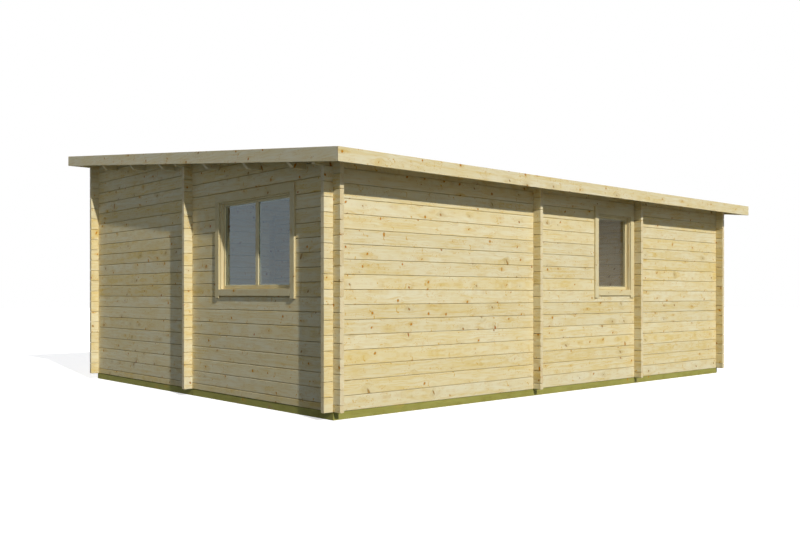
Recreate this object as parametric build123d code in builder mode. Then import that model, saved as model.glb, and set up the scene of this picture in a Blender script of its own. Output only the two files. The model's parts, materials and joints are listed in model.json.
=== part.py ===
from build123d import *
import math
import os

# A log bungalow with a single-slope roof, on timber bearers.
#
# The walls are stacks of planed logs. The courses of the cross walls start with a half log, so they lie half
# a course above those of the long walls. Each log is notched underneath where it crosses another wall, which
# locks the corners, and its ends stand out past them. Three partitions are built the same way, so that their
# log ends show outside.
#
# Frame: millimetres, +X along the long walls, +Y from the low rear wall to the high front wall, +Z up. The
# origin is on the ground, under the middle of the long partition.

# House plan
house_length = 6840.0  # over the outer faces of the two end walls
house_depth = 5090.0  # over the outer faces of the rear and front walls
left_room_length = 2710.0  # clear, from the left end wall to the first cross partition
middle_room_length = 1930.0  # clear, between the two cross partitions

# Logs
log_thickness = 45.0
log_height = 135.0
log_bevel = 4.0  # along both upper edges of a log in an outer wall; those in the partitions are square
log_end = 100.0  # how far a log stands out past the wall that it crosses
joint_gap = 0.4  # between a log and the one under it
least_rip = 20.0  # the least height that a top log is ripped to under the roof

# Base and floor
base_height = 70.0
base_setback = 5.0  # from a wall's outer face to its bearer's
bearer_width = 60.0
bearer_joint = 1540.0  # from the rear wall's outer face to the butt joint in an end bearer
joist_width = 45.0
joist_spacing = 600.0
floor_thickness = 19.0

# Roof
rear_wall_height = 2273.0  # bearer to roof boards, at the rear wall's outer face
roof_pitch = 6.0
rear_overhang = 349.0  # each overhang runs from the wall's outer face to the fascia's
front_overhang = 437.0
side_overhang = 216.0
deck_thickness = 19.0
covering_thickness = 3.0
fascia_height = 125.0
fascia_thickness = 18.0
fascia_lip = 12.0  # how far a fascia stands over the roof covering
purlin_width = 45.0
purlin_height = 140.0
purlin_bevel = 60.0  # cut off the lower corner of each purlin's ends
purlin_shares = (0.159, 0.458, 0.767)  # of the distance from one long wall to the next

# Windows
window_sill = 1164.0  # ground to the lower edge of the clear opening
window_height = 897.0
double_window_width = 1288.0
single_window_width = 671.0
rear_window_gap = 30.0  # from the rear window's casing to the log ends beside it
frame_width = 30.0
frame_depth = 80.0
settling_gap = 20.0  # over a window or door frame, for the logs to settle
sash_setback = 37.0  # from the wall's outer face to the sash
sash_thickness = 40.0
sash_width = 37.0
mullion_width = 55.0
glass_thickness = 4.0
glass_setback = 12.0  # from the sash's outer face to the glass
glass_rebate = 10.0  # how far the glass runs into the sash

# Casings
casing_thickness = 20.0
casing_side_width = 70.0
casing_head_width = 86.0
casing_sill_width = 67.0
casing_horn = 26.0  # how far the side boards run below the sill board
casing_reveal = 3.0  # frame left showing beside a casing board
inner_casing_width = 60.0
inner_casing_thickness = 16.0

# Front door
door_width = 860.0
door_height = 1980.0
door_frame_width = 40.0
leaf_thickness = 44.0
leaf_setback = 18.0
leaf_gap = 3.0  # around the closed leaf
stop_width = 14.0  # strips inside the frame that the leaf shuts against
stile_width = 115.0
lower_panel_height = 760.0
panel_thickness = 20.0
panel_rebate = 12.0  # how far panel and glass run into the leaf
threshold_lip = 8.0  # threshold over the floor
handle_height = 1050.0  # over the floor
plate_width = 38.0
plate_height = 210.0
plate_bevel = 8.0  # across the plate's corners
plate_thickness = 6.0
lever_length = 120.0
lever_width = 18.0
lever_bevel = 4.0  # across the lever's corners
lever_standoff = 40.0  # from the plate to the lever

# Inner doorways
doorway_width = 800.0
doorway_height = 1960.0

# Clearances
fit_gap = 0.3  # between pieces that seat on each other
overrun = 50.0  # how far a cutting shape runs past what it cuts

half_length = house_length / 2
half_depth = house_depth / 2
half_log = log_thickness / 2
half_course = log_height / 2
slope = math.tan(math.radians(roof_pitch))
plumb = 1 / math.cos(math.radians(roof_pitch))  # plumb height for each unit of thickness square to the roof

floor_top = base_height + floor_thickness
end_wall_x = half_length - half_log
left_partition_x = -half_length + log_thickness + left_room_length + half_log
right_partition_x = left_partition_x + log_thickness + middle_room_length
cross_wall_xs = (-end_wall_x, left_partition_x, right_partition_x, end_wall_x)
long_wall_y = half_depth - half_log
long_wall_ys = (-long_wall_y, 0, long_wall_y)
left_bay_x, middle_bay_x, right_bay_x = [(a + b) / 2 for a, b in zip(cross_wall_xs, cross_wall_xs[1:])]
rear_bay_y, front_bay_y = -long_wall_y / 2, long_wall_y / 2

roof_rear = -half_depth - rear_overhang
roof_front = half_depth + front_overhang
roof_side = half_length + side_overhang
under_fascia = roof_side - fascia_thickness - fit_gap  # where the purlins and the top logs end
purlin_ys = [y + share * long_wall_y for y in long_wall_ys[:2] for share in purlin_shares]


def roof_z(y):
    """Height of the roof boards' underside."""
    return base_height + rear_wall_height + (y + half_depth) * slope


def sloped_slab(low, high, rear, front, left, right):
    """Makes a slab in the open part that follows the roof. low and high are over the boards' underside."""
    with BuildSketch(Plane.YZ.offset(left)) as outline:
        with BuildLine():
            Polyline(
                (rear, roof_z(rear) + low),
                (front, roof_z(front) + low),
                (front, roof_z(front) + high),
                (rear, roof_z(rear) + high),
                close=True,
            )
        make_face()
    extrude(outline.sketch, amount=right - left)


os.makedirs("parts", exist_ok=True)


# Base and floor


def spread(start, stop, spacing):
    """Evenly spaced places between two supports."""
    count = max(1, math.ceil((stop - start) / spacing) - 1)
    return [start + (stop - start) * (k + 1) / (count + 1) for k in range(count)]


def beam(left, right, rear, front, low, high):
    """One straight timber of the open part, from its six limits."""
    with Locations(((left + right) / 2, (rear + front) / 2, (low + high) / 2)):
        Box(right - left, front - rear, high - low)


bearer_inset = base_setback + bearer_width / 2
bearer_xs = (-half_length + bearer_inset, left_partition_x, right_partition_x, half_length - bearer_inset)
bearer_ys = (-half_depth + bearer_inset, 0, half_depth - bearer_inset)
bearer_grip = bearer_width / 2 + fit_gap
joint_y = -half_depth + bearer_joint

with BuildPart() as long_bearers:
    with Locations(*[(0, y, 0) for y in bearer_ys]):
        Box(
            house_length - 2 * base_setback, bearer_width, base_height,
            align=(Align.CENTER, Align.CENTER, Align.MIN),
        )
long_bearers.part.label = "long_bearers"
export_step(long_bearers.part, "parts/long_bearers.step")

with BuildPart() as cross_bearers:
    for x in bearer_xs:
        left, right = x - bearer_width / 2, x + bearer_width / 2
        for rear, front in zip(bearer_ys, bearer_ys[1:]):
            start, stop = rear + bearer_grip, front - bearer_grip
            if x in (bearer_xs[0], bearer_xs[-1]) and start < joint_y < stop:
                beam(left, right, start, joint_y - fit_gap, 0, base_height)
                start = joint_y
            beam(left, right, start, stop, 0, base_height)
cross_bearers.part.label = "cross_bearers"
export_step(cross_bearers.part, "parts/cross_bearers.step")

with BuildPart() as floor_joists:
    for left, right in zip(bearer_xs, bearer_xs[1:]):
        for rear, front in zip(bearer_ys, bearer_ys[1:]):
            for x in spread(left, right, joist_spacing):
                beam(
                    x - joist_width / 2, x + joist_width / 2,
                    rear + bearer_grip, front - bearer_grip, 0, base_height,
                )
floor_joists.part.label = "floor_joists"
export_step(floor_joists.part, "parts/floor_joists.step")

with BuildPart() as floor_deck:
    edge = half_log + fit_gap
    for left, right in zip(cross_wall_xs, cross_wall_xs[1:]):
        for rear, front in zip(long_wall_ys, long_wall_ys[1:]):
            beam(left + edge, right - edge, rear + edge, front - edge, base_height + fit_gap, floor_top)
floor_deck.part.label = "floor_deck"
export_step(floor_deck.part, "parts/floor_deck.step")


# Log walls


def courses(first, top):
    """Lower joints of the logs, from the height first up to a wall's top."""
    count = max(1, math.floor((top - least_rip - first) / log_height) + 1)
    return [first + k * log_height for k in range(count)]


def log_profile(height, outer):
    """Section of one log, standing on the sketch's origin, bevelled if it is in an outer wall."""
    with BuildSketch() as profile:
        Rectangle(log_thickness, height, align=(Align.CENTER, Align.MIN))
        if outer:
            chamfer(profile.vertices().group_by(Axis.Y)[-1], log_bevel)
    return profile.sketch


def cut_under_roof():
    """Cuts the open wall off along the underside of the roof boards."""
    top = roof_z(roof_front) + log_height
    with BuildSketch(Plane.YZ.offset(-roof_side)) as sky:
        with BuildLine():
            Polyline(
                (roof_rear, roof_z(roof_rear) - fit_gap),
                (roof_front, roof_z(roof_front) - fit_gap),
                (roof_front, top),
                (roof_rear, top),
                close=True,
            )
        make_face()
    extrude(sky.sketch, amount=2 * roof_side, mode=Mode.SUBTRACT)


def cut_notches(joints, places):
    """Notches the underside of every log, by half a course, where it crosses another wall."""
    through = log_thickness + 2 * fit_gap
    with Locations(*[(x, y, z - joint_gap / 2) for z in joints for x, y in places]):
        Box(
            through, through, half_course + joint_gap / 2,
            align=(Align.CENTER, Align.CENTER, Align.MIN), mode=Mode.SUBTRACT,
        )


def cut_hole(x, y, x_size, y_size, low, high):
    """Cuts an upright block out of the open wall."""
    with Locations((x, y, low)):
        Box(
            x_size, y_size, high - low,
            align=(Align.CENTER, Align.CENTER, Align.MIN), mode=Mode.SUBTRACT,
        )


def long_wall(name, y, openings):
    """A wall along X. Its top log runs on to the fascias. Openings are (x, width, low, high)."""
    joints = courses(base_height, roof_z(y - half_log))
    reach = half_length + log_end
    outer = y != 0
    top_joint = joints[-1]
    with BuildPart() as wall:
        with BuildSketch(Plane.YZ.offset(-reach)):
            with Locations(*[(y, z) for z in joints[:-1]]):
                add(log_profile(log_height - joint_gap, outer))
        extrude(amount=2 * reach)
        with BuildSketch(Plane.YZ.offset(-under_fascia)):
            with Locations((y, top_joint)):
                Rectangle(
                    log_thickness, roof_z(y + half_log) - top_joint, align=(Align.CENTER, Align.MIN)
                )
        extrude(amount=2 * under_fascia)
        cut_under_roof()
        cut_notches(joints, [(x, y) for x in cross_wall_xs])
        for x, width, low, high in openings:
            cut_hole(x, y, width, log_thickness + overrun, low, high)
    wall.part.label = name
    export_step(wall.part, f"parts/{name}.step")


def cross_wall(name, x, openings):
    """A wall along Y, under the slope and cut out for the purlins. Openings are (y, width, low, high)."""
    reach = half_depth + log_end
    outer = abs(x) == end_wall_x
    joints = courses(base_height + half_course, roof_z(reach))
    with BuildPart() as wall:
        with BuildSketch(Plane.XZ.offset(reach)):
            with Locations((x, base_height)):
                add(log_profile(half_course - joint_gap, outer))
            with Locations(*[(x, z) for z in joints]):
                add(log_profile(log_height - joint_gap, outer))
        extrude(amount=-2 * reach)
        cut_under_roof()
        cut_notches(joints, [(x, y) for y in long_wall_ys])
        for y in purlin_ys:
            low = roof_z(y) - purlin_height - fit_gap
            cut_hole(
                x, y, log_thickness + overrun, purlin_width + 2 * fit_gap, low, roof_z(roof_front)
            )
        for y, width, low, high in openings:
            cut_hole(x, y, log_thickness + overrun, width, low, high)
    wall.part.label = name
    export_step(wall.part, f"parts/{name}.step")


def window_hole(width):
    """Width, lower and upper edge of the hole that a window needs in its wall."""
    low = window_sill - frame_width - fit_gap
    high = window_sill + window_height + frame_width + settling_gap
    return width + 2 * (frame_width + fit_gap), low, high


door_hole = (
    door_width + 2 * (door_frame_width + fit_gap),
    base_height - joint_gap / 2,
    floor_top + door_height + door_frame_width + settling_gap,
)
doorway = (doorway_width, floor_top, floor_top + doorway_height)
casing_reach = single_window_width / 2 + casing_reveal + casing_side_width
rear_window_x = right_partition_x - half_log - rear_window_gap - casing_reach

long_wall("rear_wall", -long_wall_y, [(rear_window_x, *window_hole(single_window_width))])
long_wall("long_partition", 0, [(x, *doorway) for x in (left_bay_x, middle_bay_x, right_bay_x)])
long_wall(
    "front_wall",
    long_wall_y,
    [
        (left_bay_x, *window_hole(double_window_width)),
        (middle_bay_x, *door_hole),
        (right_bay_x, *window_hole(single_window_width)),
    ],
)
cross_wall("left_wall", -end_wall_x, [(rear_bay_y, *window_hole(double_window_width))])
cross_wall("left_partition", left_partition_x, [(front_bay_y, *doorway)])
cross_wall("right_partition", right_partition_x, [(front_bay_y, *doorway)])
cross_wall("right_wall", end_wall_x, [(rear_bay_y, *window_hole(double_window_width))])


# Roof

bay_purlins = len(purlin_shares)
for name, ys in (("rear_purlins", purlin_ys[:bay_purlins]), ("front_purlins", purlin_ys[bay_purlins:])):
    with BuildPart() as purlins:
        for y in ys:
            rear, front = y - purlin_width / 2, y + purlin_width / 2
            low = roof_z(y) - purlin_height
            with BuildSketch(Plane.YZ.offset(-under_fascia)):
                with BuildLine():
                    Polyline(
                        (rear, low),
                        (front, low),
                        (front, roof_z(front) - fit_gap),
                        (rear, roof_z(rear) - fit_gap),
                        close=True,
                    )
                make_face()
            extrude(amount=2 * under_fascia)
        lower_end_edges = purlins.edges().filter_by(Axis.Y)
        chamfer(lower_end_edges, purlin_bevel)
    purlins.part.label = name
    export_step(purlins.part, f"parts/{name}.step")

board_top = deck_thickness * plumb
covering_top = (deck_thickness + covering_thickness) * plumb
fascia_top = covering_top + fascia_lip
board_rear = roof_rear + fascia_thickness + fit_gap
board_front = roof_front - fascia_thickness - fit_gap

with BuildPart() as roof_deck:
    sloped_slab(0, board_top, board_rear, board_front, -under_fascia, under_fascia)
roof_deck.part.label = "roof_deck"
export_step(roof_deck.part, "parts/roof_deck.step")

with BuildPart() as roof_covering:
    sloped_slab(board_top + fit_gap, covering_top, board_rear, board_front, -under_fascia, under_fascia)
roof_covering.part.label = "roof_covering"
export_step(roof_covering.part, "parts/roof_covering.step")

for name, edge, rear, front in (
    ("rear_fascia", roof_rear, roof_rear, roof_rear + fascia_thickness),
    ("front_fascia", roof_front, roof_front - fascia_thickness, roof_front),
):
    with BuildPart() as fascia:
        top = roof_z(edge) + fascia_top
        beam(-roof_side, roof_side, rear, front, top - fascia_height, top)
    fascia.part.label = name
    export_step(fascia.part, f"parts/{name}.step")

for name, left, right in (
    ("left_fascia", -roof_side, -roof_side + fascia_thickness),
    ("right_fascia", roof_side - fascia_thickness, roof_side),
):
    with BuildPart() as fascia:
        sloped_slab(fascia_top - fascia_height, fascia_top, board_rear, board_front, left, right)
    fascia.part.label = name
    export_step(fascia.part, f"parts/{name}.step")


# Windows and door, drawn on a wall's outer face: x along the wall, y up, z outwards


def face_plane(x, y, outward):
    """Plane on a wall's outer face, its origin on the ground under the middle of an opening."""
    return Plane(origin=(x, y, 0), x_dir=Vector(0, 0, 1).cross(Vector(*outward)), z_dir=outward)


def board(left, right, low, high, back, front):
    """One straight piece of the open part."""
    with Locations(((left + right) / 2, (low + high) / 2, (back + front) / 2)):
        Box(right - left, high - low, front - back)


def groove(left, right, low, high, back, front):
    """Grooves the pieces of the open part for a pane or panel with these edges."""
    with Locations(((left + right) / 2, (low + high) / 2, (back + front) / 2)):
        Box(
            right - left + 2 * fit_gap, high - low + 2 * fit_gap, front - back + 2 * fit_gap,
            mode=Mode.SUBTRACT,
        )


def jambs_and_head(half_width, low, high, width):
    """Frame members beside and over a clear opening."""
    for left, right in ((-half_width - width, -half_width), (half_width, half_width + width)):
        board(left, right, low, high + width, -frame_depth, -fit_gap)
    board(-half_width + fit_gap, half_width - fit_gap, high, high + width, -frame_depth, -fit_gap)


def side_and_head_casing(half_width, low, high, width, head_width, back, front):
    """Two side boards, and a head board that lies over both."""
    outer = half_width + width
    for left, right in ((-outer, -half_width), (half_width, outer)):
        board(left, right, low, high, back, front)
    board(-outer, outer, high + fit_gap, high + head_width, back, front)


inner_casing_front = -log_thickness - fit_gap
inner_casing_back = inner_casing_front - inner_casing_thickness


def window(name, plane, width, lights):
    """A window with one sash of one or two lights, cased on both faces of the wall."""
    half_width = width / 2
    low, high = window_sill, window_sill + window_height

    with BuildPart(plane) as frame:
        jambs_and_head(half_width, low - frame_width, high, frame_width)
        board(-half_width + fit_gap, half_width - fit_gap, low - frame_width, low, -frame_depth, -fit_gap)
    frame.part.label = f"{name}_frame"
    export_step(frame.part, f"parts/{name}_frame.step")

    sash_edge = half_width - fit_gap
    rail_edge = sash_edge - sash_width - fit_gap
    sash_low, sash_high = low + fit_gap, high - fit_gap
    light_low, light_high = sash_low + sash_width, sash_high - sash_width
    sash_front = -sash_setback
    sash_back = sash_front - sash_thickness
    glass_front = sash_front - glass_setback
    pane = (
        -rail_edge - glass_rebate, rail_edge + glass_rebate,
        light_low - glass_rebate, light_high + glass_rebate,
        glass_front - glass_thickness, glass_front,
    )
    with BuildPart(plane) as sash:
        for left, right in ((-sash_edge, -sash_edge + sash_width), (sash_edge - sash_width, sash_edge)):
            board(left, right, sash_low, sash_high, sash_back, sash_front)
        for rail_low, rail_high in ((sash_low, light_low), (light_high, sash_high)):
            board(-rail_edge, rail_edge, rail_low, rail_high, sash_back, sash_front)
        if lights > 1:
            for back, front in ((sash_back, pane[4] - fit_gap), (pane[5] + fit_gap, sash_front)):
                board(
                    -mullion_width / 2, mullion_width / 2,
                    light_low + fit_gap, light_high - fit_gap, back, front,
                )
        groove(*pane)
    sash.part.label = f"{name}_sash"
    export_step(sash.part, f"parts/{name}_sash.step")

    with BuildPart(plane) as glass:
        board(*pane)
    glass.part.label = f"{name}_glass"
    export_step(glass.part, f"parts/{name}_glass.step")

    casing_edge = half_width + casing_reveal
    sill_top = low - casing_reveal
    sill_low = sill_top - casing_sill_width
    inner_edge = half_width + frame_width + fit_gap
    inner_low, inner_high = low - frame_width - fit_gap, high + frame_width + fit_gap
    inner_outer = inner_edge + inner_casing_width
    with BuildPart(plane) as casing:
        side_and_head_casing(
            casing_edge, sill_low - casing_horn, high + casing_reveal,
            casing_side_width, casing_head_width, fit_gap, casing_thickness,
        )
        board(
            -casing_edge + fit_gap, casing_edge - fit_gap, sill_low, sill_top,
            fit_gap, casing_thickness,
        )
        side_and_head_casing(
            inner_edge, inner_low, inner_high,
            inner_casing_width, inner_casing_width, inner_casing_back, inner_casing_front,
        )
        board(
            -inner_outer, inner_outer, inner_low - inner_casing_width, inner_low - fit_gap,
            inner_casing_back, inner_casing_front,
        )
    casing.part.label = f"{name}_casing"
    export_step(casing.part, f"parts/{name}_casing.step")


window("left_window", face_plane(-half_length, rear_bay_y, (-1, 0, 0)), double_window_width, 2)
window("rear_window", face_plane(rear_window_x, -half_depth, (0, -1, 0)), single_window_width, 1)
window("right_window", face_plane(half_length, rear_bay_y, (1, 0, 0)), double_window_width, 2)
window("front_left_window", face_plane(left_bay_x, half_depth, (0, 1, 0)), double_window_width, 2)
window("front_right_window", face_plane(right_bay_x, half_depth, (0, 1, 0)), single_window_width, 1)

door_plane = face_plane(middle_bay_x, half_depth, (0, 1, 0))
door_half = door_width / 2
door_head = floor_top + door_height
sill_top = floor_top + threshold_lip

with BuildPart(door_plane) as door_threshold:
    board(
        -door_half - door_frame_width, door_half + door_frame_width,
        base_height + fit_gap, sill_top, -log_thickness, -fit_gap,
    )
door_threshold.part.label = "door_threshold"
export_step(door_threshold.part, "parts/door_threshold.step")

leaf_edge = door_half - leaf_gap
leaf_low, leaf_high = sill_top + leaf_gap, door_head - leaf_gap
leaf_front = -leaf_setback
leaf_back = leaf_front - leaf_thickness

with BuildPart(door_plane) as door_frame:
    frame_low = sill_top + fit_gap
    stop_low, stop_high = door_head - stop_width, door_head - fit_gap
    stop_front = leaf_back - fit_gap
    stop_edge = door_half - fit_gap
    jambs_and_head(door_half, frame_low, door_head, door_frame_width)
    board(-stop_edge, stop_edge, stop_low, stop_high, -frame_depth, stop_front)
    for left, right in ((-stop_edge, -door_half + stop_width), (door_half - stop_width, stop_edge)):
        board(left, right, frame_low, stop_low - fit_gap, -frame_depth, stop_front)
door_frame.part.label = "door_frame"
export_step(door_frame.part, "parts/door_frame.step")

leaf_middle = (leaf_front + leaf_back) / 2
rail_edge = leaf_edge - stile_width - fit_gap
panel_low = leaf_low + stile_width
panel_high = panel_low + lower_panel_height
light_low, light_high = panel_high + stile_width, leaf_high - stile_width
door_panel = (
    -rail_edge - panel_rebate, rail_edge + panel_rebate,
    panel_low - panel_rebate, panel_high + panel_rebate,
    leaf_middle - panel_thickness / 2, leaf_middle + panel_thickness / 2,
)
door_pane = (
    -rail_edge - panel_rebate, rail_edge + panel_rebate,
    light_low - panel_rebate, light_high + panel_rebate,
    leaf_middle - glass_thickness / 2, leaf_middle + glass_thickness / 2,
)

with BuildPart(door_plane) as door_leaf:
    for left, right in ((-leaf_edge, -leaf_edge + stile_width), (leaf_edge - stile_width, leaf_edge)):
        board(left, right, leaf_low, leaf_high, leaf_back, leaf_front)
    for low, high in ((leaf_low, panel_low), (panel_high, light_low), (light_high, leaf_high)):
        board(-rail_edge, rail_edge, low, high, leaf_back, leaf_front)
    groove(*door_panel)
    groove(*door_pane)
    board(*door_panel)
door_leaf.part.label = "door_leaf"
export_step(door_leaf.part, "parts/door_leaf.step")

with BuildPart(door_plane) as door_glass:
    board(*door_pane)
door_glass.part.label = "door_glass"
export_step(door_glass.part, "parts/door_glass.step")

with BuildPart(door_plane) as door_casing:
    side_and_head_casing(
        door_half + casing_reveal, base_height + fit_gap, door_head + casing_reveal,
        casing_side_width, casing_head_width, fit_gap, casing_thickness,
    )
    side_and_head_casing(
        door_half + door_frame_width + fit_gap, floor_top + fit_gap, door_head + door_frame_width + fit_gap,
        inner_casing_width, inner_casing_width, inner_casing_back, inner_casing_front,
    )
door_casing.part.label = "door_casing"
export_step(door_casing.part, "parts/door_casing.step")

handle_x, handle_z = leaf_edge - stile_width / 2, floor_top + handle_height
plate_back = leaf_front + fit_gap
lever_back = plate_back + plate_thickness + lever_standoff - lever_width
neck_reach = lever_width / 2
with BuildPart(door_plane) as door_handle:
    with BuildSketch(door_plane.offset(plate_back)) as plate:
        with Locations((handle_x, handle_z)):
            Rectangle(plate_width, plate_height)
        chamfer(plate.vertices(), plate_bevel)
    extrude(amount=plate_thickness)
    board(
        handle_x - neck_reach, handle_x + neck_reach, handle_z - neck_reach, handle_z + neck_reach,
        plate_back, lever_back,
    )
    with BuildSketch(door_plane.offset(lever_back)) as lever:
        with Locations((handle_x + neck_reach - lever_length / 2, handle_z)):
            Rectangle(lever_length, lever_width)
        chamfer(lever.vertices(), lever_bevel)
    extrude(amount=lever_width)
door_handle.part.label = "door_handle"
export_step(door_handle.part, "parts/door_handle.step")
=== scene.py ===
import json
import math
import random
import bmesh
import bpy
from mathutils import Matrix, Vector


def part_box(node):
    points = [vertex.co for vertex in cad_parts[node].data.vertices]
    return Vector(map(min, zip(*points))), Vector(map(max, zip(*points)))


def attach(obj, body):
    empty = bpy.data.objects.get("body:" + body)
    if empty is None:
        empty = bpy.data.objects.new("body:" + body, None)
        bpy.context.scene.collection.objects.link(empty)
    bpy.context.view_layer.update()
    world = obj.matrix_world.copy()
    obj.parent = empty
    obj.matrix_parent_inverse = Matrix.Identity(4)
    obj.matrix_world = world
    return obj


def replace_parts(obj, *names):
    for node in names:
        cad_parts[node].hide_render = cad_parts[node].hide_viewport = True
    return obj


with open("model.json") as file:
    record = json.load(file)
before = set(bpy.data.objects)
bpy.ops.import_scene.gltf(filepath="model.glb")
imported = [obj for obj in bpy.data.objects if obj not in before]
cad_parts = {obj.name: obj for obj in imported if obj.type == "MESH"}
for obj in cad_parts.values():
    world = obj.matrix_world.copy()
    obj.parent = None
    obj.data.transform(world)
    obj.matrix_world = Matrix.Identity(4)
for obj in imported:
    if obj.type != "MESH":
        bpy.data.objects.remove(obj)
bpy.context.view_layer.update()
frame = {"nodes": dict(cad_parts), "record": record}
rng = random.Random(7)
MM = 0.001
ROOF_SLOPE = math.tan(math.radians(6))

# The sizes below are in metres. Logs: the bevels where a log meets the next ones, how far their inner edges
# run in under it, and the shortest edge that is bevelled so.
LONG_WALL_JOINT = 4.6 * MM
CROSS_WALL_JOINT = 6.5 * MM
JOINT_UNDERCUT = 14 * MM
END_JOINT = 4.5 * MM
END_UNDERCUT = 8 * MM
LEAST_JOINT = 60 * MM

# All timber.
EASED_EDGE = 1.2 * MM
SHARP = math.radians(60)
SMOOTH_LIMIT = math.radians(40)
WELD = 0.01 * MM
CLOSE = 0.1 * MM

# Roof and floor.
BOARD_GAP = 0.6 * MM
ROOF_BOARD = 88 * MM
ROOF_BOARD_JOINT = 2.5 * MM
FLOOR_BOARD = 95 * MM
FLOOR_BOARD_JOINT = 1.5 * MM
FELT_STRIPS = 6
FELT_LAP = 80 * MM
FELT_LIFT = 5 * MM
FELT_EDGE = 0.8 * MM

# Windows. A pane wider than DOUBLE_LIGHT has a mullion.
PIECE_GAP = 0.3 * MM
GLASS_REBATE = 10 * MM
BEAD = 11 * MM
BEAD_EASE = 2 * MM
MULLION = 55 * MM
DOUBLE_LIGHT = 900 * MM
FRAME_STOP = 9 * MM
STOP_SETBACK = 2 * MM
CHAMFER = {"frame": 0.8 * MM, "sash": 5 * MM, "casing": 2 * MM}

# Door.
PANEL_REBATE = 12 * MM
PANEL_SETBACK = 12 * MM
STILE = 115 * MM
MOULDING = 13 * MM
MOULDING_EASE = 4 * MM
MOULDING_SETBACK = 2 * MM
FIELD_SETBACK = 5 * MM
FIELD_MARGIN = 55 * MM
FIELD_SLOPE = 26 * MM
DRIP_INSET = 8 * MM
DRIP_DEPTH = 16 * MM
DRIP_HEIGHT = 44 * MM
DRIP_FALL = 22 * MM
DRIP_EASE = 1.5 * MM

LOG_WALLS = (
    "rear_wall", "front_wall", "left_wall", "right_wall", "long_partition", "left_partition", "right_partition",
)

# The axis that the outer face of each window looks along, and which way.
OUTWARD = {"left": (0, -1), "rear": (1, -1), "right": (0, 1), "front_left": (1, 1), "front_right": (1, 1)}

# Light, as shares of the level at which a colour renders as it is written. The front fill falls on the rear
# wall, and the back fill on the sides that the photograph doesn't show.
SUN_LEVEL = 0.92
SUN_TRAVEL = (0.21, 1, -0.625)
SUN_SPREAD = math.radians(0.9)
SUN_COLOUR = (0.985, 0.957, 0.907)
FRONT_FILL_LEVEL = 0.1
FRONT_FILL_TRAVEL = (0.15, 0.99, 0)
FRONT_FILL_SPREAD = math.radians(80)
FRONT_FILL_COLOUR = (0.74, 0.85, 1)
BACK_FILL_LEVEL = 0.5
BACK_FILL_TRAVEL = (-0.55, -0.75, -0.4)
BACK_FILL_SPREAD = math.radians(70)
BACK_FILL_COLOUR = (1, 0.98, 0.94)
ROOM_LAMP_WATTS = 3.2
ROOM_LAMP_COLOUR = (1, 0.97, 0.9)
ROOM_LAMP_SIZE = 0.2
ROOM_LAMP_XS = (-2.02, 0.345, 2.365)
ROOM_LAMP_YS = (-1.26, 1.26)
ROOM_LAMP_Z = 0.5
SKY_LOW = (0.285, 0.31, 0.37)
SKY_HIGH = (0.15, 0.16, 0.185)
FLOOR_BOUNCE = (0.11, 0.132, 0.145)
FLOOR_WHITE = 0.85
FLOOR_GLOW = 0.6
FLOOR_REACH = 60
FLOOR_DROP = 0.5 * MM

# Camera, fitted to the photograph's log joints, in pixels of its 800 by 534 frame and in metres.
IMAGE_WIDTH = 800
MIDDLE_ROW = 267
HORIZON_ROW = 294.4
FOCAL_LENGTH = 851.97
CAMERA_PLACE = (-7.990, -8.486, 1.108)
CAMERA_FORWARD = (0.66996, 0.74240, 0)


class Nodes:
    """Adds shader nodes to one material; an input is a number, a tuple or another node's socket."""

    def __init__(self, tree):
        self.tree = tree

    def add(self, kind, settings, inputs, out=0):
        node = self.tree.nodes.new(kind)
        for key, value in settings.items():
            setattr(node, key, value)
        for key, value in inputs.items():
            socket = node.inputs[key]
            if isinstance(value, bpy.types.NodeSocket):
                self.tree.links.new(value, socket)
            else:
                socket.default_value = value
        return node.outputs[out]

    def math(self, operation, a, b=0.0):
        return self.add("ShaderNodeMath", {"operation": operation}, {0: a, 1: b})

    def plus(self, a, b):
        return self.math("ADD", a, b)

    def minus(self, a, b):
        return self.math("SUBTRACT", a, b)

    def times(self, a, b):
        return self.math("MULTIPLY", a, b)

    def over(self, a, b):
        return self.math("DIVIDE", a, b)

    def split(self, vector):
        node = self.add("ShaderNodeSeparateXYZ", {}, {0: vector}).node
        return node.outputs[0], node.outputs[1], node.outputs[2]

    def join(self, x, y, z=0.0):
        return self.add("ShaderNodeCombineXYZ", {}, {0: x, 1: y, 2: z})

    def stretch(self, vector, scale):
        return self.add("ShaderNodeVectorMath", {"operation": "MULTIPLY"}, {0: vector, 1: scale})

    def noise(self, vector, detail=2.0, roughness=0.5, twist=0.0):
        inputs = {"Vector": vector, "Scale": 1.0, "Detail": detail, "Roughness": roughness, "Distortion": twist}
        return self.add("ShaderNodeTexNoise", {}, inputs)

    def ease(self, value, low, high, start=0.0, end=1.0):
        """Goes smoothly from start to end as value goes from low to high."""
        inputs = {"Value": value, "From Min": low, "From Max": high, "To Min": start, "To Max": end}
        return self.add("ShaderNodeMapRange", {"interpolation_type": "SMOOTHSTEP"}, inputs)

    def length(self, a, b):
        return self.math("SQRT", self.plus(self.math("POWER", a, 2.0), self.math("POWER", b, 2.0)))

    def streaks(self, along, across, seed, per_metre, thin, low, high):
        """Long soft marks in the grain: per_metre sets their length and thin their width."""
        place = self.join(self.times(along, per_metre), self.times(across, thin), seed)
        return self.ease(self.noise(place, 3.0, 0.6), low, high)

    def blend(self, share, a, b, kind="MIX"):
        settings = {"data_type": "RGBA", "blend_type": kind}
        return self.add("ShaderNodeMix", settings, {0: share, 6: a, 7: b}, 2)


def rgb(r, g, b):
    """A colour in linear light, as the nodes take it."""
    return (r, g, b, 1.0)


def new_material(name):
    """A material, its nodes and its shader."""
    material = bpy.data.materials.new(name)
    material.use_nodes = True
    return material, Nodes(material.node_tree), material.node_tree.nodes["Principled BSDF"]


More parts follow.
